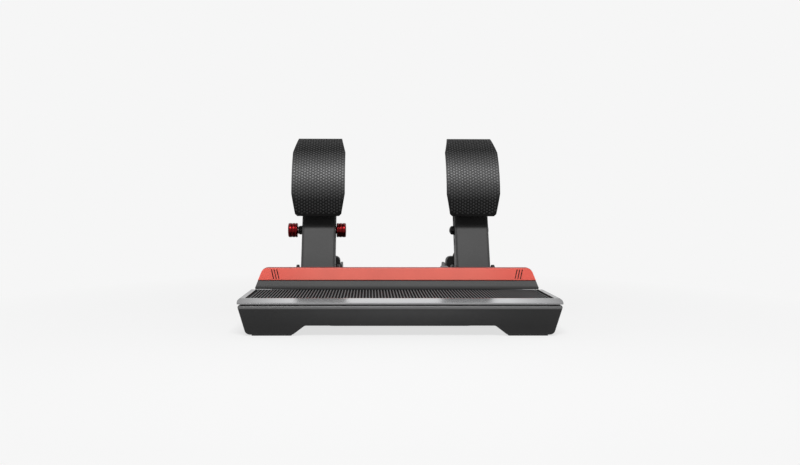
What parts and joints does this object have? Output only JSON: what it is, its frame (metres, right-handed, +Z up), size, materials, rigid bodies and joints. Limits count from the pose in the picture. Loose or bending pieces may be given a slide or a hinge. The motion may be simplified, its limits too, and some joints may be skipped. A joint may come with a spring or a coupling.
{
  "type": "sim racing pedal set",
  "caption": "Brake and throttle pedals on a steel base with a ribbed heel rest, a folded kick plate, a sprung throttle and a load cell brake.",
  "frame": {"origin": "on the floor under the middle of the set's bounding box", "axes": "+X to the driver's right along the heel rest, +Y away from the driver, +Z up"},
  "size_m": [0.35, 0.31, 0.2276],
  "materials": {
    "silver": "satin",
    "mat": "ribbed",
    "skirt": "fine grain",
    "foot_rubber": "matt",
    "black_steel": "powder coat",
    "red": "satin",
    "arm_steel": "satin powder coat",
    "plate_black": "black anodised, studded",
    "housing_black": "black cast",
    "knob_red": "red anodised, knurled",
    "black_screws": "black oxide",
    "bright_steel": "ground",
    "bronze": "sintered",
    "cup": "turned",
    "elastomer": "polyurethane",
    "cell": "ground",
    "spring_steel": "wound",
    "magnet": "plated",
    "box_plastic": "moulded",
    "socket_black": "moulded"
  },
  "bodies": {
    "base": {"heel_top": "silver", "tread_mat": "mat", "heel_skirt": "skirt", "lobe_pads": "foot_rubber", "heel_screws": "black_screws", "base_plate": "black_steel", "rear_feet": "foot_rubber", "kick_plate": "black_steel", "kick_trim": "red", "kick_screws": "black_screws", "brake_frame": "black_steel", "throttle_frame": "black_steel", "brake_bushes": "bronze", "throttle_bushes": "bronze", "brake_rear_housing": "housing_black", "throttle_rear_housing": "housing_black", "brake_housing_bolts": "black_screws", "throttle_housing_bolts": "black_screws", "brake_elastomers": "elastomer", "brake_load_cell": "cell", "throttle_rear_cup": "cup", "throttle_spring": "spring_steel", "throttle_sensor": "box_plastic", "frame_screws": "black_screws", "frame_nuts": "black_screws", "controller_box": "box_plastic", "controller_lid": "box_plastic", "controller_screws": "black_screws", "controller_sockets": "socket_black"},
    "brake_arm_assembly": {"brake_arm": "arm_steel", "brake_axle": "bright_steel", "brake_axle_clip": "bright_steel", "brake_plate_bracket": "black_steel", "brake_pedal_plate": "plate_black", "brake_plate_screws": "black_screws", "brake_cross_pin": "bright_steel", "brake_cap_nut": "black_screws", "brake_pin_spacers": "cup"},
    "throttle_arm_assembly": {"throttle_arm": "arm_steel", "throttle_axle": "bright_steel", "throttle_axle_clip": "bright_steel", "throttle_plate_bracket": "black_steel", "throttle_pedal_plate": "plate_black", "throttle_plate_screws": "black_screws", "throttle_cross_pin": "black_screws", "throttle_cap_nut": "black_screws", "throttle_pin_spacers": "cup", "throttle_magnet": "magnet"},
    "brake_rod_assembly": {"brake_push_rod": "bright_steel", "brake_preload_nut": "bright_steel", "brake_front_cup": "cup", "brake_stop_nut": "bright_steel"},
    "throttle_rod_assembly": {"throttle_push_rod": "bright_steel", "throttle_preload_nut": "bright_steel", "throttle_front_cup": "cup", "throttle_stop_nut": "bright_steel"},
    "outer_knob": {"brake_knob_outer": "knob_red"},
    "inner_knob": {"brake_knob_inner": "knob_red"}
  },
  "joints": [
    {"name": "brake_arm", "type": "hinge", "parent": "base", "child": "brake_arm_assembly", "pos_m": [-0.0981, 0.0021, 0.0503], "axis": [-1, 0, 0], "range_deg": [0, 8], "stiffness_Nm_per_rad": 150, "springref_deg": -1.72, "deforming": ["brake_elastomers"]},
    {"name": "throttle_arm", "type": "hinge", "parent": "base", "child": "throttle_arm_assembly", "pos_m": [0.0981, 0.0021, 0.0503], "axis": [-1, 0, 0], "range_deg": [0, 18], "stiffness_Nm_per_rad": 12, "springref_deg": -6.88, "deforming": ["throttle_spring"]},
    {"name": "brake_rod_eye", "type": "hinge", "parent": "brake_arm_assembly", "child": "brake_rod_assembly", "pos_m": [-0.0981, 0.02286, 0.10734], "axis": [-1, 0, 0], "range_deg": [-7.5, 0]},
    {"name": "throttle_rod_eye", "type": "hinge", "parent": "throttle_arm_assembly", "child": "throttle_rod_assembly", "pos_m": [0.0981, 0.02286, 0.10734], "axis": [-1, 0, 0], "range_deg": [-17.5, 0]},
    {"name": "outer_knob_turn", "type": "hinge", "parent": "brake_arm_assembly", "child": "outer_knob", "pos_m": [-0.1321, 0.02286, 0.10734], "axis": [-1, 0, 0], "continuous": true},
    {"name": "inner_knob_turn", "type": "hinge", "parent": "brake_arm_assembly", "child": "inner_knob", "pos_m": [-0.0701, 0.02286, 0.10734], "axis": [1, 0, 0], "continuous": true}
  ],
  "couplings": [
    {"joint": "brake_rod_eye", "follows": "brake_arm", "ratio": -0.914},
    {"joint": "throttle_rod_eye", "follows": "throttle_arm", "ratio": -0.958}
  ]
}
